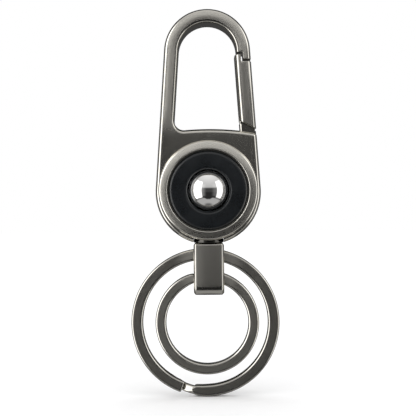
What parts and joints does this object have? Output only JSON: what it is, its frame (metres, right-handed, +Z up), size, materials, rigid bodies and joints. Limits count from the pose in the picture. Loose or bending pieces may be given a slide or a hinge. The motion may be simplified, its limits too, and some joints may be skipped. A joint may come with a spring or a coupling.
{
  "type": "carabiner keychain",
  "caption": "Die-cast snap hook with a sprung inward gate, a rolling steel ball in a black inlay, and a swivel link that carries a large and a small split ring.",
  "frame": {"origin": "the inner top of the bow, in the middle of the body's depth, where a finger, peg or belt loop carries the object", "axes": "+Z up, from the rings to the bow; +Y towards the flat back, so the ball faces -Y; +X towards the gate"},
  "size_m": [0.0359, 0.0111, 0.0938],
  "materials": {
    "gunmetal_cast": "satin gunmetal plating over a casting",
    "bezel_metal": "polished gunmetal",
    "black_inlay": "satin black",
    "black_nylon": "matte",
    "mirror_steel": "mirror",
    "gate_metal": "satin gunmetal plating",
    "blackened_steel": "blackened",
    "spring_steel": "drawn wire",
    "link_metal": "polished gunmetal",
    "ring_steel": "gunmetal nickel, satin"
  },
  "bodies": {
    "hook": {"hook_body": "gunmetal_cast", "bezel_ring": "bezel_metal", "inlay_disc": "black_inlay", "ball_cup": "black_nylon"},
    "gate": {"gate": "gate_metal", "gate_pin": "blackened_steel", "gate_spring": "spring_steel"},
    "ball": {"steel_ball": "mirror_steel"},
    "link": {"ring_link": "link_metal", "swivel_pin": "blackened_steel", "swivel_collar": "blackened_steel"},
    "large_ring": {"large_ring": "ring_steel"},
    "small_ring": {"small_ring": "ring_steel"}
  },
  "joints": [
    {"name": "gate_hinge", "type": "hinge", "parent": "hook", "child": "gate", "pos_m": [0.00972, 0, -0.02167], "axis": [0, -1, 0], "range_deg": [0, 30], "stiffness_Nm_per_rad": 0.03, "springref_deg": -28.65, "deforming": ["gate_spring"]},
    {"name": "ball_roll", "type": "hinge", "parent": "hook", "child": "ball", "pos_m": [0, -0.0023, -0.04035], "axis": [1, 0, 0], "continuous": true},
    {"name": "link_swivel", "type": "hinge", "parent": "hook", "child": "link", "pos_m": [0, 0, -0.05305], "axis": [0, 0, 1], "continuous": true},
    {"name": "large_ring_swing", "type": "hinge", "parent": "link", "child": "large_ring", "pos_m": [0, 0, -0.05613], "axis": [1, 0, 0], "range_deg": [-150, 150]},
    {"name": "small_ring_swing", "type": "hinge", "parent": "link", "child": "small_ring", "pos_m": [0, 0, -0.06158], "axis": [1, 0, 0], "range_deg": [-105, 105]}
  ]
}
